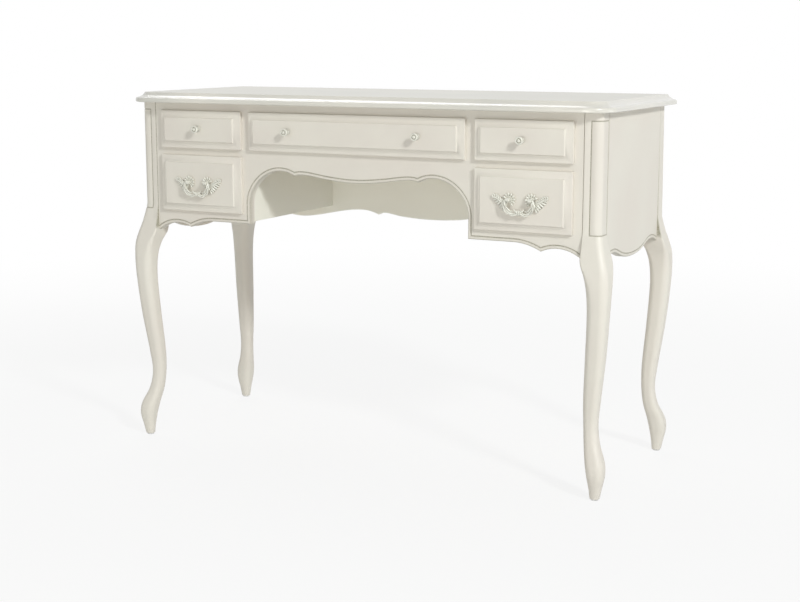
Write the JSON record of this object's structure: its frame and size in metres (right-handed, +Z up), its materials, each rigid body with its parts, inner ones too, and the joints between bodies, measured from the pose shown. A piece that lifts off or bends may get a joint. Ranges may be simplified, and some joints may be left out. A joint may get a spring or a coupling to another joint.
{
  "type": "dressing table",
  "caption": "Kneehole dressing table with cabriole legs, a scalloped apron, a moulded top and lipped drawers that slide, with turned knobs and swinging drop handles.",
  "frame": {"origin": "on the floor, under the middle of the whole table's box", "axes": "+X along the width to the table's own right-hand pedestal as seen from the front, -Y out of the front, +Z up"},
  "size_m": [1.1048, 0.4458, 0.77],
  "materials": {
    "ivory_paint": "ivory paint with an antique glaze, satin",
    "top_paint": "ivory paint under a clear top coat, semi-gloss",
    "drawer_wood": "bare poplar, matt",
    "antique_metal": "ivory paint rubbed over cast metal, satin",
    "steel": "plain"
  },
  "bodies": {
    "case": {"top_board": "top_paint", "top_kickers": "drawer_wood", "top_screws": "steel", "top_rail": "ivory_paint", "kneehole_apron": "ivory_paint", "foot_glides": "steel", "back_panel": "ivory_paint", "drawer_runners": "drawer_wood", "drawer_rail_left": "ivory_paint", "pedestal_rail_left": "ivory_paint", "kneehole_stile_left": "ivory_paint", "end_stile_left": "ivory_paint", "leg_front_left": "ivory_paint", "leg_rear_left": "ivory_paint", "side_panel_left": "ivory_paint", "kneehole_partition_left": "ivory_paint", "pedestal_bottom_left": "drawer_wood", "drawer_rail_right": "ivory_paint", "pedestal_rail_right": "ivory_paint", "kneehole_stile_right": "ivory_paint", "end_stile_right": "ivory_paint", "leg_front_right": "ivory_paint", "leg_rear_right": "ivory_paint", "side_panel_right": "ivory_paint", "kneehole_partition_right": "ivory_paint", "pedestal_bottom_right": "drawer_wood"},
    "centre_drawer": {"centre_drawer_front": "ivory_paint", "centre_drawer_side_left": "drawer_wood", "centre_drawer_side_right": "drawer_wood", "centre_drawer_back": "drawer_wood", "centre_drawer_bottom": "drawer_wood", "centre_drawer_knobs": "antique_metal"},
    "upper_left_drawer": {"upper_left_drawer_front": "ivory_paint", "upper_left_drawer_side_left": "drawer_wood", "upper_left_drawer_side_right": "drawer_wood", "upper_left_drawer_back": "drawer_wood", "upper_left_drawer_bottom": "drawer_wood", "upper_left_drawer_knob": "antique_metal"},
    "upper_right_drawer": {"upper_right_drawer_front": "ivory_paint", "upper_right_drawer_side_left": "drawer_wood", "upper_right_drawer_side_right": "drawer_wood", "upper_right_drawer_back": "drawer_wood", "upper_right_drawer_bottom": "drawer_wood", "upper_right_drawer_knob": "antique_metal"},
    "lower_left_drawer": {"lower_left_drawer_front": "ivory_paint", "lower_left_drawer_side_left": "drawer_wood", "lower_left_drawer_side_right": "drawer_wood", "lower_left_drawer_back": "drawer_wood", "lower_left_drawer_bottom": "drawer_wood", "lower_left_drawer_mounts": "antique_metal", "lower_left_drawer_bolts": "steel"},
    "lower_right_drawer": {"lower_right_drawer_front": "ivory_paint", "lower_right_drawer_side_left": "drawer_wood", "lower_right_drawer_side_right": "drawer_wood", "lower_right_drawer_back": "drawer_wood", "lower_right_drawer_bottom": "drawer_wood", "lower_right_drawer_mounts": "antique_metal", "lower_right_drawer_bolts": "steel"},
    "left_bail": {"bail_left": "antique_metal"},
    "right_bail": {"bail_right": "antique_metal"}
  },
  "joints": [
    {"name": "centre_drawer_slide", "type": "slide", "parent": "case", "child": "centre_drawer", "axis": [0, -1, 0], "range_m": [0, 0.25]},
    {"name": "upper_left_drawer_slide", "type": "slide", "parent": "case", "child": "upper_left_drawer", "axis": [0, -1, 0], "range_m": [0, 0.25]},
    {"name": "upper_right_drawer_slide", "type": "slide", "parent": "case", "child": "upper_right_drawer", "axis": [0, -1, 0], "range_m": [0, 0.25]},
    {"name": "lower_left_drawer_slide", "type": "slide", "parent": "case", "child": "lower_left_drawer", "axis": [0, -1, 0], "range_m": [0, 0.25]},
    {"name": "lower_right_drawer_slide", "type": "slide", "parent": "case", "child": "lower_right_drawer", "axis": [0, -1, 0], "range_m": [0, 0.25]},
    {"name": "left_bail_swing", "type": "hinge", "parent": "lower_left_drawer", "child": "left_bail", "pos_m": [-0.373, -0.21695, 0.58], "axis": [-1, 0, 0], "range_deg": [-8, 90]},
    {"name": "right_bail_swing", "type": "hinge", "parent": "lower_right_drawer", "child": "right_bail", "pos_m": [0.373, -0.21695, 0.58], "axis": [-1, 0, 0], "range_deg": [-8, 90]}
  ]
}
